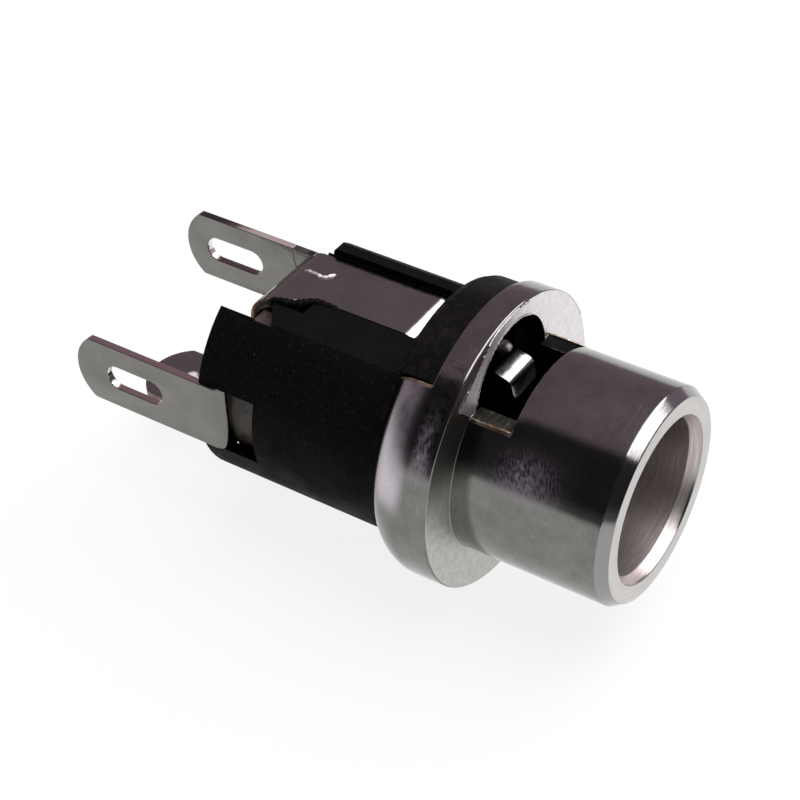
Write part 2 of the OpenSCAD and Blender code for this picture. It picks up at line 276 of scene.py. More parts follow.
def make(name, verts, faces):
    """Mesh object with its close points merged and its faces turned outward."""
    me = bpy.data.meshes.new(name)
    me.from_pydata([tuple(v) for v in verts], [], faces)
    bm = bmesh.new()
    bm.from_mesh(me)
    bmesh.ops.remove_doubles(bm, verts=bm.verts[:], dist=1e-5)
    bmesh.ops.recalc_face_normals(bm, faces=bm.faces[:])
    bm.to_mesh(me)
    bm.free()
    o = bpy.data.objects.new(name, me)
    scene.collection.objects.link(o)
    return o


def lathe(name, profile, seg=256):
    """Closed profile of (x, radius) turned about the X axis."""
    verts, rings, faces = [], [], []
    for x, r in profile:
        count = 1 if r < 1e-6 else seg
        rings.append([len(verts) + k for k in range(count)])
        verts += [(x, -r * math.sin(2 * math.pi * k / seg), r * math.cos(2 * math.pi * k / seg))
                  for k in range(count)]
    for a, b in zip(rings, rings[1:] + rings[:1]):
        if len(a) == len(b) == 1:
            continue
        for k in range(seg):
            q = [a[k % len(a)], a[(k + 1) % len(a)], b[(k + 1) % len(b)], b[k % len(b)]]
            faces.append(tuple(dict.fromkeys(q)))
    return make(name, verts, faces)


def prism(outline, x0, x1):
    """Solid between x0 and x1 over an outline of (y, z) points; x0 may depend on y and z."""
    n = len(outline)
    back = x0 if callable(x0) else (lambda y, z: x0)
    verts = [(back(y, z), y, z) for y, z in outline] + [(x1, y, z) for y, z in outline]
    faces = [tuple(range(n)), tuple(range(n, 2 * n))]
    faces += [(i, (i + 1) % n, n + (i + 1) % n, n + i) for i in range(n)]
    return make("cutter", verts, faces)


def sector(x0, x1, a0, a1, r=12):
    """Wedge about the X axis from a0 to a1 degrees, where 0 is the top and 90 the near side."""
    pts = [(0, 0)] + [(-r * math.sin(math.radians(a0 + (a1 - a0) * k / 6)),
                       r * math.cos(math.radians(a0 + (a1 - a0) * k / 6))) for k in range(7)]
    return prism(pts, x0, x1)


def disc(x0, x1, r, y=0.0, z=0.0, seg=128):
    """Cylinder along X."""
    return prism([(y + r * math.cos(2 * math.pi * k / seg), z + r * math.sin(2 * math.pi * k / seg))
                  for k in range(seg)], x0, x1)


def thread(name, points, radius, wave=0.0, ring=10):
    """A thin uneven bead through the points, tapered to its ends."""
    path = []
    n = len(points)
    for i in range(n - 1):
        p0, p1, p2, p3 = (Vector(points[min(n - 1, max(0, i + k))]) for k in (-1, 0, 1, 2))
        count = max(2, round((p2 - p1).length / 0.06))
        for k in range(count + (i == n - 2)):
            u = k / count
            path.append(0.5 * (2 * p1 + (p2 - p0) * u + (2 * p0 - 5 * p1 + 4 * p2 - p3) * u * u
                               + (3 * p1 - p0 - 3 * p2 + p3) * u ** 3))
    verts, faces, m = [], [], len(path)
    for i, p in enumerate(path):
        d = (path[min(m - 1, i + 1)] - path[max(0, i - 1)]).normalized()
        a = d.cross(Vector((0, 0, 1)) if abs(d.z) < 0.8 else Vector((1, 0, 0))).normalized()
        b = d.cross(a)
        ends = min(1.0, 0.15 + min(i, m - 1 - i) / 4)
        r = radius * ends * (1 + wave * (math.sin(i * 1.7) * 0.6 + math.sin(i * 0.61 + 1) * 0.4))
        verts += [p + (a * math.cos(2 * math.pi * k / ring) + b * math.sin(2 * math.pi * k / ring)) * r
                  for k in range(ring)]
    for i in range(m - 1):
        for k in range(ring):
            after = (k + 1) % ring
            faces.append((i * ring + k, i * ring + after, (i + 1) * ring + after, (i + 1) * ring + k))
    faces += [tuple(range(ring)), tuple(range((m - 1) * ring, m * ring))]
    return make(name, verts, faces)


def bake(o):
    """Applies an object's modifiers."""
    dg = bpy.context.evaluated_depsgraph_get()
    me = bpy.data.meshes.new_from_object(o.evaluated_get(dg))
    o.modifiers.clear()
    o.data = me
    return o


def boolean(o, tools, operation="DIFFERENCE"):
    for t in tools:
        m = o.modifiers.new("cut", "BOOLEAN")
        m.object, m.operation, m.solver = t, operation, "EXACT"
    bake(o)
    for t in tools:
        bpy.data.objects.remove(t)
    return o


def soften(o, width, merge, angle=30):
    """Merges close points and rounds every edge sharper than angle."""
    bm = bmesh.new()
    bm.from_mesh(o.data)
    bmesh.ops.remove_doubles(bm, verts=bm.verts[:], dist=merge)
    bmesh.ops.dissolve_degenerate(bm, edges=bm.edges[:], dist=merge / 2)
    sharp = [e for e in bm.edges if e.is_manifold and e.calc_face_angle(0) > math.radians(angle)]
    bmesh.ops.bevel(bm, geom=sharp, offset=width, offset_type="OFFSET", segments=3, profile=0.5,
                    affect="EDGES", clamp_overlap=False)
    bm.to_mesh(o.data)
    bm.free()
    return o


def finish_piece(o, mat, replaced=()):
    """Scales a piece to metres and gives it its material, smooth normals and place in the frame."""
    o.data.transform(Matrix.Scale(MM, 4))
    o.data.polygons.foreach_set("use_smooth", [True] * len(o.data.polygons))
    o.data.materials.clear()
    o.data.materials.append(mat)
    w = o.modifiers.new("normals", "WEIGHTED_NORMAL")
    w.weight = 50
    w.thresh = 0.0
    w.keep_sharp = True
    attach(o, "root")
    if replaced:
        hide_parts(*replaced)
    return o


def plate(name, loops, t, edge=0.035):
    """Flat plate with rounded edges over closed outlines of (s, w); its top is at z = 0."""
    cu = bpy.data.curves.new(name, "CURVE")
    cu.dimensions = "2D"
    cu.fill_mode = "BOTH"
    cu.extrude = t / 2 - edge
    cu.bevel_depth = edge
    cu.bevel_resolution = 2
    cu.offset = -edge
    for loop in loops:
        sp = cu.splines.new("POLY")
        sp.points.add(len(loop) - 1)
        for p, (s, w) in zip(sp.points, loop):
            p.co = (s, w, 0, 1)
        sp.use_cyclic_u = True
    c = bpy.data.objects.new(name + "_outline", cu)
    scene.collection.objects.link(c)
    me = bpy.data.meshes.new_from_object(c.evaluated_get(bpy.context.evaluated_depsgraph_get()))
    me.name = name
    bpy.data.objects.remove(c)
    me.transform(Matrix.Translation((0, 0, -t / 2)))
    bm = bmesh.new()
    bm.from_mesh(me)
    bmesh.ops.remove_doubles(bm, verts=bm.verts[:], dist=1e-4)
    bmesh.ops.recalc_face_normals(bm, faces=bm.faces[:])
    rim = bm.verts.layers.float.new("rim")
    for v in bm.verts:
        v[rim] = min(1.0, (t / 2 - abs(v.co.z + t / 2)) / edge)
    bm.to_mesh(me)
    bm.free()
    o = bpy.data.objects.new(name, me)
    scene.collection.objects.link(o)
    return o


def bend(o, steps, start, tangent, normal, every=0.1):
    """Lays a flat plate along a path: steps are (length, 0) or (angle, radius of the top face)."""
    marks, s = [], 0.0
    p, t, n = Vector(start), Vector(tangent), Vector(normal)
    across = n.cross(t)
    for a, r in steps:
        length = a if r == 0 else abs(math.radians(a)) * r
        marks.append((s, s + length, p.copy(), t.copy(), n.copy(), a, r))
        if r == 0:
            p = p + t * length
        else:
            ang = math.radians(a)
            side = -1 if a > 0 else 1
            c = p + n * (side * r)
            t, n = t * math.cos(ang) - n * math.sin(ang), n * math.cos(ang) + t * math.sin(ang)
            p = c - n * (side * r)
        s += length

    def at(s, h):
        """Where the point at s along the plate and h above its top face comes to lie."""
        for m in marks:
            if s <= m[1] or m is marks[-1]:
                s0, _, p, t, n, a, r = m
                if r == 0 or s < s0:
                    return p + t * (s - s0) + n * h
                ang = math.copysign((s - s0) / r, a)
                side = -1 if a > 0 else 1
                c = p + n * (side * r)
                n2 = n * math.cos(ang) + t * math.sin(ang)
                return c - n2 * (side * r) + n2 * h

    bm = bmesh.new()
    bm.from_mesh(o.data)
    cuts = []
    for s0, s1, *_, a, r in marks:
        k = max(1, round((s1 - s0) / (every if r == 0 else every / 2.5)))
        cuts += [s0 + (s1 - s0) * i / k for i in range(k)] if r else [s0]
    for s in cuts[1:]:
        bmesh.ops.bisect_plane(bm, geom=bm.verts[:] + bm.edges[:] + bm.faces[:], dist=1e-5,
                               plane_co=(s, 0, 0), plane_no=(1, 0, 0))
    for v in bm.verts:
        s, w, h = v.co
        v.co = at(s, h) + across * w
    bmesh.ops.recalc_face_normals(bm, faces=bm.faces[:])
    bm.to_mesh(o.data)
    bm.free()
    return o


def join(name, objects):
    bm = bmesh.new()
    for o in objects:
        bm.from_mesh(o.data)
    me = bpy.data.meshes.new(name)
    bm.to_mesh(me)
    bm.free()
    for o in objects:
        bpy.data.objects.remove(o)
    o = bpy.data.objects.new(name, me)
    scene.collection.objects.link(o)
    return o


# ---------- materials ----------
def start(name):
    """A new material, its tree, the place in mm and the shader."""
    m = bpy.data.materials.new(name)
    t = Tree(m)
    co = t.add("ShaderNodeVectorMath", _operation="SCALE", Scale=1 / MM,
               i0=t.add("ShaderNodeTexCoord").outputs["Object"])
    b = t.add("ShaderNodeBsdfPrincipled")
    t.add("ShaderNodeOutputMaterial", Surface=b.outputs[0])
    return m, t, co.outputs[0], b


def turned_coords(t, co):
    """x, y, z, radius and angle in degrees about the X axis (0 is the top, 90 the near side), in mm."""
    x, y, z = t.split(co)
    r = t.math("SQRT", t.plus(t.times(y, y), t.times(z, z)))
    return x, y, z, r, t.math("DEGREES", t.math("ARCTAN2", t.times(y, -1.0), z))


def normal(t):
    """x, y and z of the surface's normal."""
    return t.split(t.add("ShaderNodeNewGeometry").outputs["Normal"])


def band(t, v, lo, hi, soft):
    """1 between lo and hi, with soft ends."""
    return t.times(t.ramp(v, lo - soft, lo + soft), t.ramp(v, hi - soft, hi + soft, 1.0, 0.0))


def both(t, *masks):
    """Product of the masks, 1 where all of them are 1."""
    out = masks[0]
    for m in masks[1:]:
        out = t.times(out, m)
    return out


def bump(t, b, height, strength, distance, previous=None):
    """Adds a layer of relief to the shader, on top of a previous one."""
    n = t.add("ShaderNodeBump", Strength=strength, Distance=distance, Height=height)
    if previous is not None:
        t.put(n, "Normal", previous)
    t.put(b, "Normal", n.outputs[0])
    return n.outputs[0]


def bushing_zones(t, x, y, z, r, deg, mottle):
    """Masks of the bushing's faces, edges and marks, each about 1 in its place and 0 elsewhere."""
    on = SimpleNamespace()
    nx, _, nz = normal(t)

    # turned faces
    facing = t.ramp(nx, 0.86, 0.95)
    on.ring = both(t, facing, t.ramp(x, 5.3, 5.5))
    on.chamfer = both(t, band(t, nx, 0.35, 0.84, 0.04), t.ramp(x, 5.1, 5.2))
    on.front = both(t, facing, t.ramp(x, 0.3, 0.2))
    on.bore = both(t, t.ramp(r, 3.12, 3.02), t.ramp(x, 3.2, 3.4))

    # floor, end wall and edges of the window, and the two ends of the gap in the crimped rim
    on.cut = both(t, t.ramp(nz, 0.93, 0.99), band(t, z, CUT_Z - 0.07, CUT_Z + 0.05, 0.02),
                  band(t, x, -0.3, CUT_X + 0.06, 0.03), t.ramp(r, R_B + 0.06, R_B + 0.03))
    on.stop = both(t, t.ramp(nx, -0.8, -0.9), band(t, x, CUT_X - 0.07, CUT_X + 0.06, 0.02),
                   t.ramp(z, 2.8, 2.95))
    on.cut_edge = both(t, band(t, z, CUT_Z - 0.09, CUT_Z + 0.09, 0.01), band(t, x, 0.03, CUT_X + 0.05, 0.02),
                       t.ramp(r, R_B - 0.03, R_B + 0.02))
    on.near_end = both(t, band(t, deg, 36.5, 38.6, 0.8), band(t, x, -3.0, -0.98, 0.02))
    on.far_end = both(t, band(t, deg, -53.2, -51.0, 0.5), band(t, x, -3.0, -0.98, 0.02))

    # milled crescent on the flange's front, between its run-out line and a chord, and its burr
    run = t.plus(t.times(t.minus(y, RUN_Y), RUN_ACROSS[0]), t.times(t.minus(z, RUN_Z + 0.08), RUN_ACROSS[1]))
    over = t.plus(t.times(y, 0.694), t.times(z, 0.72))
    on.milled = both(t, on.front, t.ramp(deg, 43, 41), t.ramp(run, -0.03, 0.03),
                     t.either(t.ramp(over, 3.96, 4.01), t.ramp(z, CUT_Z - 0.01, CUT_Z + 0.01)))
    on.burr = both(t, t.ramp(x, 0.009, 0.014), t.ramp(x, 0.07, 0.06), t.ramp(r, 3.6, 3.7),
                   t.ramp(z, 2.9, 3.0))

    # painted highlight on the crimped rim, painted reflection on scuffed patches, and dirty places
    on.crimp = both(t, band(t, x, -2.1, -1.15, 0.3), band(t, deg, 36, 84, 7),
                    t.ramp(mottle, 0.3, 0.6, 0.8, 1.0))
    barrel_patch = both(t, band(t, x, 1.5, 3.7, 1.2), band(t, deg, 47, 67, 9), t.ramp(r, 4.3, 4.2))
    flange_patch = both(t, band(t, x, -0.85, -0.25, 0.2), band(t, deg, 46, 68, 8))
    slant = t.grain(t.times(t.minus(x, t.times(deg, 0.035)), 13), t.times(t.plus(x, t.times(deg, 0.07)), 3),
                    0.0, 4, 0.62)
    on.worn = both(t, t.either(barrel_patch, flange_patch), t.ramp(slant, 0.3, 0.62, 0.25, 1.0),
                   t.ramp(mottle, 0.3, 0.6, 0.7, 1.0))
    on.dirt = both(t, band(t, x, -1.0, -0.12, 0.06), band(t, deg, 28, 58, 5), t.ramp(mottle, 0.46, 0.6))
    return on


def bushing_colour(t, on, y, deg, cloud, mottle, marks, hairs, saw):
    """Colour of the bushing: bright nickel, with other colours on its zones, among them painted highlights,
    a painted reflection and painted shade.
    """
    col = t.mix(t.ramp(cloud, 0.35, 0.68), rgb(0.162, 0.164, 0.152), rgb(0.204, 0.202, 0.189))
    col = t.mix(t.times(t.ramp(mottle, 0.5, 0.75), 0.4), col, rgb(0.13, 0.12, 0.115))
    col = t.mix(t.times(hairs, 0.3), col, rgb(0.42, 0.4, 0.4))
    # painted highlight: the mouth's chamfer is coloured lighter so that its highlight shows white
    col = t.mix(on.chamfer, col, rgb(0.28, 0.28, 0.28))
    # painted reflection on scuffed patches of the barrel and the flange's near side: pale lilac, streaked
    # like scratches
    col = t.mix(on.worn, col, rgb(0.5, 0.42, 0.52))
    col = t.mix(t.times(on.dirt, 0.7), col, rgb(0.05, 0.04, 0.035))
    # painted highlight: a pale lilac band on the crimped rim's near side
    col = t.mix(on.crimp, col, rgb(0.62, 0.56, 0.62))
    # painted shade: the flange's front face is dark on its upper side and light on its lower side, from
    # about 62 to 86 degrees round from the top
    plain = t.mix(t.ramp(mottle, 0.3, 0.7), rgb(0.47, 0.475, 0.45), rgb(0.6, 0.6, 0.575))
    front_painted_shade = t.mix(t.ramp(deg, 38, 48), rgb(0.13, 0.1, 0.105), rgb(0.09, 0.088, 0.08))
    col = t.mix(on.front, col, t.mix(t.ramp(deg, 62, 86), front_painted_shade, plain))
    col = t.mix(on.burr, col, rgb(0.42, 0.37, 0.38))
    edge = t.mix(t.ramp(mottle, 0.35, 0.6), rgb(0.22, 0.13, 0.07), rgb(0.5, 0.42, 0.33))
    col = t.mix(on.cut_edge, col, edge)
    milled = t.mix(t.ramp(mottle, 0.3, 0.7), rgb(0.72, 0.7, 0.7), rgb(0.86, 0.83, 0.84))
    col = t.mix(on.milled, col, milled)
    ring = t.mix(t.ramp(marks, 0.3, 0.7), rgb(0.52, 0.5, 0.48), rgb(0.64, 0.62, 0.6))
    col = t.mix(on.ring, col, ring)
    bore = t.mix(t.ramp(marks, 0.35, 0.7), rgb(0.46, 0.41, 0.4), rgb(0.64, 0.58, 0.565))
    col = t.mix(on.bore, col, bore)
    # painted shade: the window's sawn floor and end wall are coloured almost black, with lighter saw marks,
    # and blacker still towards the far side
    sawn_and_shaded = t.mix(t.ramp(saw, 0.54, 0.66), rgb(0.012, 0.012, 0.01), rgb(0.085, 0.078, 0.06))
    sawn_and_shaded = t.mix(t.ramp(y, -0.5, 0.5), sawn_and_shaded, rgb(0.003, 0.003, 0.003))
    col = t.mix(t.either(on.cut, on.stop), col, sawn_and_shaded)
    raw = t.mix(t.ramp(mottle, 0.4, 0.6), rgb(0.2, 0.11, 0.055), rgb(0.36, 0.26, 0.19))
    return t.mix(t.either(on.near_end, on.far_end), col, raw)


def metal_turned():
    m, t, co, b = start("turned_nickel")
    x, y, z, r, deg = turned_coords(t, co)
    around = t.times(deg, 0.045)
    marks = t.grain(t.times(x, 22), around, t.times(r, 22), 4, 0.65)
    fine = t.grain(t.times(x, 75), t.times(around, 3), t.times(r, 75), 2, 0.6)
    hair = t.grain(t.plus(t.times(x, 16), t.times(deg, 0.12)), t.times(deg, 0.13), t.times(r, 9), 3, 0.6)
    hairs = t.ramp(hair, 0.6, 0.74)
    cloud = t.noise(co, 0.9, 4, 0.65)
    mottle = t.noise(co, 3.2, 5, 0.7)
    teeth = t.grain(t.times(x, 30), t.times(y, 3), t.times(z, 3), 3, 0.6)
    comb = t.grain(t.times(x, 55), t.times(y, 1.2), t.times(z, 1.2), 2, 0.6)
    saw = t.either(t.times(teeth, 0.9), comb)
    on = bushing_zones(t, x, y, z, r, deg, mottle)
    t.put(b, "Base Color", bushing_colour(t, on, y, deg, cloud, mottle, marks, hairs, saw))
    b.inputs["Metallic"].default_value = 1.0

    rough = t.plus(t.ramp(marks, 0.3, 0.75, 0.075, 0.15), t.times(hairs, 0.03))
    for mask, value in ((on.worn, 0.5), (on.crimp, 0.4), (on.front, 0.42), (on.ring, 0.33), (on.bore, 0.42),
                        (on.cut, 0.5), (on.stop, 0.5), (on.near_end, 0.5), (on.cut_edge, 0.42)):
        rough = t.blend(mask, rough, value)
    t.put(b, "Roughness", rough)

    n = bump(t, b, t.plus(t.times(marks, 0.6), t.times(fine, 0.4)), 0.1, 0.00002)
    n = bump(t, b, hairs, 0.04, 0.00001, n)
    rubbed = t.either(t.either(on.ring, t.times(on.bore, 0.45)), on.front)
    n = bump(t, b, both(t, rubbed, marks), 0.4, 0.00003, n)
    bump(t, b, both(t, on.cut, saw), 0.8, 0.00004, n)
    return m


def metal_strip():
    m, t, co, b = start("tinned_strip")
    x, y, z = t.split(co)
    nx, _, _ = normal(t)
    cloud = t.noise(co, 0.7, 3, 0.55)
    grain = t.grain(t.times(x, 6), t.times(y, 24), t.times(z, 24), 3, 0.6)
    speck = t.noise(co, 9.0, 4, 0.7)
    rim = t.ramp(t.add("ShaderNodeAttribute", _attribute_name="rim").outputs["Fac"], 0.25, 0.75)
    rim = t.times(rim, t.minus(1.0, band(t, x, -10.1, -9.45, 0.08)))
    # brown-orange tint on the roll and the hanging plate at the back
    roll_tint = both(t, t.ramp(x, -9.0, -9.6), t.ramp(z, 1.2, 2.0), t.ramp(y, 1.0, 0.2),
                t.ramp(speck, 0.3, 0.6, 0.5, 1.0))
    glint = both(t, rim, t.ramp(nx, 0.3, 0.6), t.ramp(z, 3.4, 3.2), t.ramp(speck, 0.3, 0.5, 0.5, 1.0))

    col = t.mix(t.ramp(cloud, 0.3, 0.7), rgb(0.172, 0.172, 0.161), rgb(0.207, 0.202, 0.188))
    col = t.mix(roll_tint, col, rgb(0.24, 0.13, 0.09))
    col = t.mix(t.times(t.ramp(speck, 0.62, 0.75), 0.35), col, rgb(0.09, 0.075, 0.065))
    shear = t.mix(t.ramp(speck, 0.4, 0.65), rgb(0.13, 0.1, 0.1), rgb(0.19, 0.15, 0.145))
    # painted shade: the sheared edges are darker towards the top, from z 3.0 to 3.5
    shear = t.mix(t.ramp(z, 3.0, 3.5), shear, rgb(0.075, 0.058, 0.058))
    shear = t.mix(t.ramp(y, -3.6, -4.0), shear, rgb(0.36, 0.28, 0.275))
    col = t.mix(rim, col, shear)
    # painted highlight: the strip is lighter towards its tip, forward of x -3.72, so that its front bend and
    # tip facet show white
    col = t.mix(t.ramp(x, -3.85, -3.72), col, rgb(0.28, 0.27, 0.285))
    col = t.mix(glint, col, rgb(0.85, 0.8, 0.85))
    t.put(b, "Base Color", col)
    b.inputs["Metallic"].default_value = 1.0
    t.put(b, "Roughness", t.blend(rim, t.ramp(grain, 0.3, 0.7, 0.13, 0.2), 0.22))
    n = bump(t, b, grain, 0.05, 0.00002)
    bump(t, b, cloud, 0.25, 0.0001, n)
    return m


def rough_tin():
    m, t, co, b = start("rough_tin")
    speck = t.noise(co, 5.0, 4, 0.7)
    t.put(b, "Base Color", t.mix(t.ramp(speck, 0.35, 0.65), rgb(0.42, 0.37, 0.42), rgb(0.72, 0.69, 0.72)))
    b.inputs["Metallic"].default_value = 1.0
    t.put(b, "Roughness", t.ramp(speck, 0.3, 0.7, 0.48, 0.66))
    bump(t, b, speck, 0.4, 0.00005)
    return m


def plastic_black():
    m, t, co, b = start("black_moulding")
    x, _, _ = t.split(co)
    _, _, nz = normal(t)
    grain = t.noise(co, 14.0, 5, 0.75)
    dust = t.noise(co, 8.0, 6, 0.8)
    cloud = t.noise(co, 0.8, 3, 0.6)
    flecks = both(t, t.ramp(dust, 0.54, 0.68), t.ramp(grain, 0.46, 0.62))
    col = t.mix(t.ramp(grain, 0.45, 0.7), rgb(0.0024, 0.0024, 0.0026), rgb(0.0072, 0.007, 0.0072))
    col = t.mix(flecks, col, rgb(0.04, 0.037, 0.035))
    grime = both(t, t.ramp(x, -2.9, -2.7), t.ramp(t.noise(co, 2.6, 5, 0.7), 0.45, 0.65))
    col = t.mix(grime, col, rgb(0.011, 0.008, 0.0065))
    # painted shade: faces that look straight up are coloured about half as bright
    upward_painted_dark = t.ramp(nz, 0.96, 0.995, 1.0, 0.5)
    col = t.mix(upward_painted_dark, rgb(0.0004, 0.0004, 0.0004), col)
    t.put(b, "Base Color", col)
    t.put(b, "Roughness", t.ramp(cloud, 0.3, 0.7, 0.5, 0.66))
    b.inputs["Specular IOR Level"].default_value = 0.035
    n = bump(t, b, grain, 0.35, 0.00003)
    bump(t, b, dust, 0.4, 0.00006, n)
    return m


def laminate():
    m, t, co, b = start("brown_laminate")
    cloud = t.noise(co, 2.5, 5, 0.65)
    fibre = t.noise(co, 18.0, 3, 0.6)
    col = t.mix(t.ramp(cloud, 0.35, 0.65), rgb(0.012, 0.008, 0.006), rgb(0.05, 0.028, 0.018))
    t.put(b, "Base Color", col)
    t.put(b, "Roughness", t.ramp(fibre, 0.3, 0.7, 0.4, 0.6))
    n = bump(t, b, cloud, 0.5, 0.00005)
    bump(t, b, fibre, 0.3, 0.00002, n)
    return m


mats = {"nickel_bushing": metal_turned(), "black_plastic": plastic_black(),
        "brown_laminate": laminate(), "tinned_strip": metal_strip()}
mats["pin_metal"] = mats["nickel_bushing"]
for sub in frame["record"]["subparts"]:
    o = nodes[sub["node"]]
    o.data.materials.clear()
    o.data.materials.append(mats[sub["material_slot"]])


# ---------- pieces ----------
def milled_x(y, z):
    """Place of the milled face, which sinks a little below the flange's front away from its run-out line."""
    return -0.0015 - 0.007 * ((y - RUN_Y) * RUN_ACROSS[0] + (z - RUN_Z) * RUN_ACROSS[1])


def bushing_profile():
    """Closed (x, radius) outline of the turning, with its rim rolled in over the insulator."""
    mouth_r, step_r = 2.9, 3.57
    seat_r, in_r = R_F - 0.45, 4.65
    crimp_r, crimp_end = 1.55, 4.7
    cx = -FLANGE + math.sqrt(crimp_r ** 2 - (crimp_r - R_F + crimp_end) ** 2)
    roll = math.acos(1 - (R_F - crimp_end) / crimp_r)
    crimp = [(cx - crimp_r * math.sin(roll * k / 14), R_F - crimp_r + crimp_r * math.cos(roll * k / 14))
             for k in range(15)]
    corners = [(-0.9, step_r), (BARREL - 2.4, step_r), (BARREL - 2.4, mouth_r, 0.03),
               (BARREL - 0.41, mouth_r, 0.05), (BARREL, mouth_r + 0.2, 0.05), (BARREL, R_B - 0.26, 0.04),
               (BARREL - 0.4, R_B, 0.06), (0.0, R_B, 0.03),
               (0.0, R_F - 0.06), (-0.05, R_F - 0.012), (-0.4, R_F)]
    corners += crimp[1:-1] + [(crimp[-1][0], crimp[-1][1], 0.05), (-FLANGE, in_r + 0.01, 0.01)]
    corners += [(cx - 0.95, in_r), (cx - 0.2, seat_r), (-0.9, seat_r)]
    # no extra points beside the flange's front edge, where the burrs sit
    return [p for p in dense(rounded(corners)) if not (-0.38 < p[0] < -0.09 and p[1] > R_F - 0.1)]


def bushing_burrs(y):
    """Burrs round the window: on the milled crescent, the pocket's lip and the edges at -y and y."""
    crescent = [(-0.01, a, b) for a, b in ((-3.36, 3.66), (-2.95, 3.98), (-2.5, 4.33), (-1.88, 4.86),
                                           (-1.25, 5.28), (-0.6, 5.45), (0.3, 5.48), (1.2, 5.34))]
    lip_r = POCKET_R + 0.02
    lip = [(-0.02, POCKET_Y - lip_r * math.cos(k), POCKET_Z + lip_r * math.sin(k))
           for k in (0.12, 0.4, 0.7, 1.0, 1.3, 1.6, 1.9, 2.2)]
    end = [(-0.01, -3.36, 3.66), (0.0, -3.05, 3.4), (0.02, -2.75, 3.08), (0.1, -2.68, 2.98)]
    near = [(0.05, -y, CUT_Z), (0.5, -y - 0.01, CUT_Z - 0.01),
            (1.0, -y, CUT_Z), (1.55, -y + 0.01, CUT_Z + 0.01)]
    far = [(0.02, y - 0.02, CUT_Z + 0.01), (0.5, y, CUT_Z),
           (0.95, y - 0.01, CUT_Z), (1.4, y - 0.02, CUT_Z + 0.01)]
    return [thread("burr", points, radius, wave) for points, radius, wave in (
        (crescent, 0.05, 0.2), (lip, 0.04, 0.35), (end, 0.06, 0.2), (near, 0.035, 0.5), (far, 0.05, 0.6))]


def bushing_piece(mat):
    o = lathe("bushing_turned", bushing_profile())
    y = R_B * math.sin(math.acos(CUT_Z / R_B))
    out, top = y + 3.6, 2.25 * CUT_Z
    window = prism([(-y, CUT_Z), (y, CUT_Z), (out, -0.5), (out, top), (-2.25 * y, top)], milled_x, CUT_X)
    uncut = prism([(y, CUT_Z), (out, -0.5), (out, top)], 0.0, CUT_X + 0.03)
    boolean(window, [uncut])
    pocket = disc(-1.2, 0.004, POCKET_R, POCKET_Y, POCKET_Z)
    gap = sector(-5, -1.02, -52, 37.5)
    boolean(o, [window, pocket, gap])
    soften(o, 0.025, 0.008)
    o = join("bushing_turned", [o, *bushing_burrs(y)])
    return finish_piece(o, mat, ["bushing"])


def lug_outline(length, w, eye_gap):
    """Outline and eye of a lug that ends at s = length; its root is at s = 0."""
    end_r = 0.62 * w
    c = length - end_r
    nose = end_r - math.sqrt(end_r ** 2 - w * w / 4 + 0.02)
    half = math.asin(math.sqrt(1 - ((end_r - nose) / end_r) ** 2))
    arc = [(c + end_r * math.cos(half * k / 12), end_r * math.sin(half * k / 12)) for k in range(-12, 13)]
    side = length - nose - 0.35
    outline = [(0, -w / 2), (side, -w / 2, 0.1)] + arc + [(side, w / 2, 0.1), (0, w / 2)]
    h = EYE_W / 2
    a, b = length - eye_gap - h, length - eye_gap - EYE_L + h
    turns = [math.pi * (k / 16 - 0.5) for k in range(17)]
    eye = [(a + h * math.cos(k), h * math.sin(k)) for k in turns]
    eye += [(b - h * math.cos(k), -h * math.sin(k)) for k in turns]
    return rounded(outline), eye


def spring_strip():
    """The contact strip: up from the hanging plate, over the roll, along the deck and down to its tip."""
    up, along, slope = 1.1, 4.83, 0.4518
    steps = [(up, 0), (90, ROLL_R), (along, 0), (50, 0.8), (slope, 0), (-66, 0.9), (1.614, 0),
             (33, 0.35), (0.44, 0), (60, 0.35), (0.5, 0)]
    end = sum(a if r == 0 else abs(math.radians(a)) * r for a, r in steps)
    root = up + math.radians(90) * ROLL_R
    neck = root + along + math.radians(50) * 0.8 + slope
    y0, y1 = STRIP
    t0, t1 = 0.5 - 0.975, 1.12
    outline = [(0, WIDE, 0.1), (root, WIDE, 0.1), (root + 0.3, WIDE + 0.12, 0.2),
               (root + 0.55, WIDE + 0.45, 0.3), (root + 1.3, y0, 0.5),
               (neck - 0.1, y0, 0.1), (neck + 0.12, t0, 0.1), (end, t0, 0.25),
               (end, t1, 0.25), (neck + 0.12, t1, 0.1), (neck - 0.1, y1, 0.1),
               (up + 0.05, y1, 0.05), (up + 0.05, 1.2), (0, 1.2)]
    return bend(plate("spring_strip", [rounded(outline)], T), steps, (HANG_X, 0, 1.5), (0, 0, 1), (-1, 0, 0))


def spring_lug(mid):
    """The spring's lug, centred at height mid: along the hanging plate, round the fold and back."""
    r = T + 0.25
    flat = 1.2
    fold = math.pi / 2 * r
    fold_x = HANG_X + T - r
    top = DECK - ROLL_R - mid
    rise = flat + 0.55 * fold

    def top_edge(s):
        """Under the roll as far as the fold, and at the lug's full width after it."""
        return top + (LUG_W / 2 - top) * min(1, max(0, (s - rise) / (0.45 * fold)))

    outline, eye = lug_outline(flat + fold + SPRING_END + fold_x, LUG_W, 0.95)
    outline = [(s, min(w, top_edge(s))) for s, w in outline[:-1]]
    outline += [(flat + fold, LUG_W / 2), (rise, top), (0, top)]
    return bend(plate("spring_lug", [outline, eye], T), [(flat, 0), (90, r), (9, 0)],
                (HANG_X + T, STRIP[1] - r - flat, mid), (0, 1, 0), (1, 0, 0))


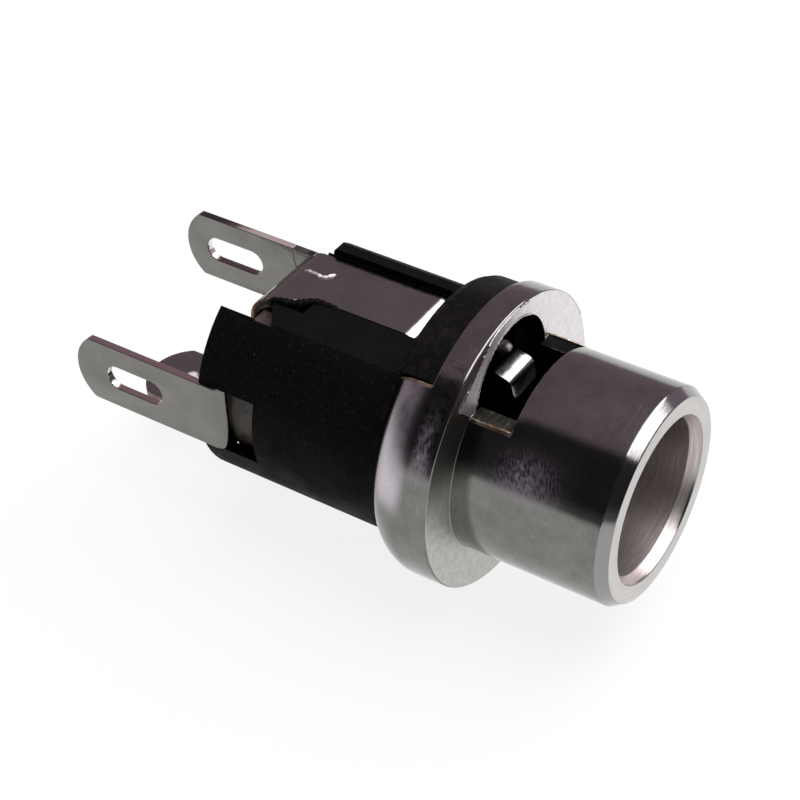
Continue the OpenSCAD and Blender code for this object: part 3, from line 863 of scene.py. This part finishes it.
def spring_piece(mat):
    mid = DECK - 0.06 - LUG_W / 2
    half = LUG_W / 2
    outline = rounded([(0, -half, 0.05), (0.95, -half), (0.95, half), (0, half, 0.05)])
    side = plate("spring_side", [outline], T)
    bend(side, [(1, 0)], (WASH_X - 0.05, STRIP[1], mid), (-1, 0, 0), (0, 1, 0))
    o = join("spring_contact", [spring_strip(), spring_lug(mid), side])
    return finish_piece(o, mat, ["spring"])


def pin_lug_piece(mat):
    r = T + 0.2
    flat = -NEAR_Y - r
    fold = math.pi / 2 * r
    outline, eye = lug_outline(flat + fold + LUG_END + WASH_X - r, LUG_W, 1.4)
    lug = bend(plate("pin_terminal", [outline, eye], T), [(flat, 0), (90, r), (9, 0)],
               (WASH_X, 0, 0), (0, -1, 0), (1, 0, 0))
    boolean(lug, [disc(WASH_X - T - 1, WASH_X + 1, 0.75, seg=48)])
    return finish_piece(lug, mat, ["pin_lug"])


def switch_lug_piece(mat):
    r = T + 0.2
    x1 = SEAT_X + T
    flat = LOW_Z + T - r
    fold = math.pi / 2 * r
    outline, eye = lug_outline(flat + fold + SWITCH_END + x1 - r, LOW_W, 1.4)
    lug = bend(plate("switch_terminal", [outline, eye], T), [(flat, 0), (90, r), (9, 0)],
               (x1, LOW_Y, 0), (0, 0, -1), (1, 0, 0))
    ring = disc(SEAT_X, x1, 2.5)
    boolean(lug, [ring], "UNION")
    boolean(lug, [disc(SEAT_X - 1, x1 + 1, 1.8, seg=64)])
    finger = plate("finger", [[(0, -0.9), (4.6, -0.9), (4.6, 0.9), (0, 0.9)]], T)
    bend(finger, [(1.7, 0), (90, r), (3, 0)], (SEAT_X, 0.5, 1.2), (0, 0, 1), (-1, 0, 0))
    return finish_piece(join("switch_contact", [lug, finger]), mat, ["switch_lug"])


def scrape_piece(mat):
    """The raised fold in the strip's root and the drop of tin beside its tip."""
    z = DECK - 0.03
    crease = [(-8.95, 0.5, z - 0.04), (-8.72, 0.53, z), (-8.44, 0.5, z + 0.01), (-8.18, 0.47, z + 0.01),
              (-7.98, 0.55, z + 0.01), (-7.85, 0.73, z), (-7.78, 0.95, z - 0.04)]
    drop = [(-1.16, 0.95, 3.08), (-0.98, 1.06, 3.14), (-0.78, 1.04, 3.14), (-0.62, 0.85, 3.04)]
    o = join("tin_scrapes", [thread("crease", crease, 0.1, 0.15), thread("drop", drop, 0.22, 0.1, 16)])
    return finish_piece(o, mat)


def flash_piece(mat):
    """The thread of moulding flash round the wide root of the strip."""
    z = DECK - 0.02
    line = [(-9.0, WIDE + 0.03, z - 0.08), (-8.6, WIDE + 0.1, z + 0.02), (-8.2, WIDE + 0.18, z + 0.04),
            (-7.85, WIDE + 0.4, z + 0.02), (-7.6, WIDE + 0.68, z),
            (-7.1, -0.77, z - 0.04), (-6.5, -0.82, z - 0.1)]
    return finish_piece(thread("moulding_flash", line, 0.15, 0.22), mat)


bushing_piece(mats["nickel_bushing"])
scrape_piece(rough_tin())
flash_piece(mats["black_plastic"])
spring_piece(mats["tinned_strip"])
pin_lug_piece(mats["tinned_strip"])
switch_lug_piece(mats["tinned_strip"])


# ---------- output ----------
scene.view_settings.view_transform = "Standard"
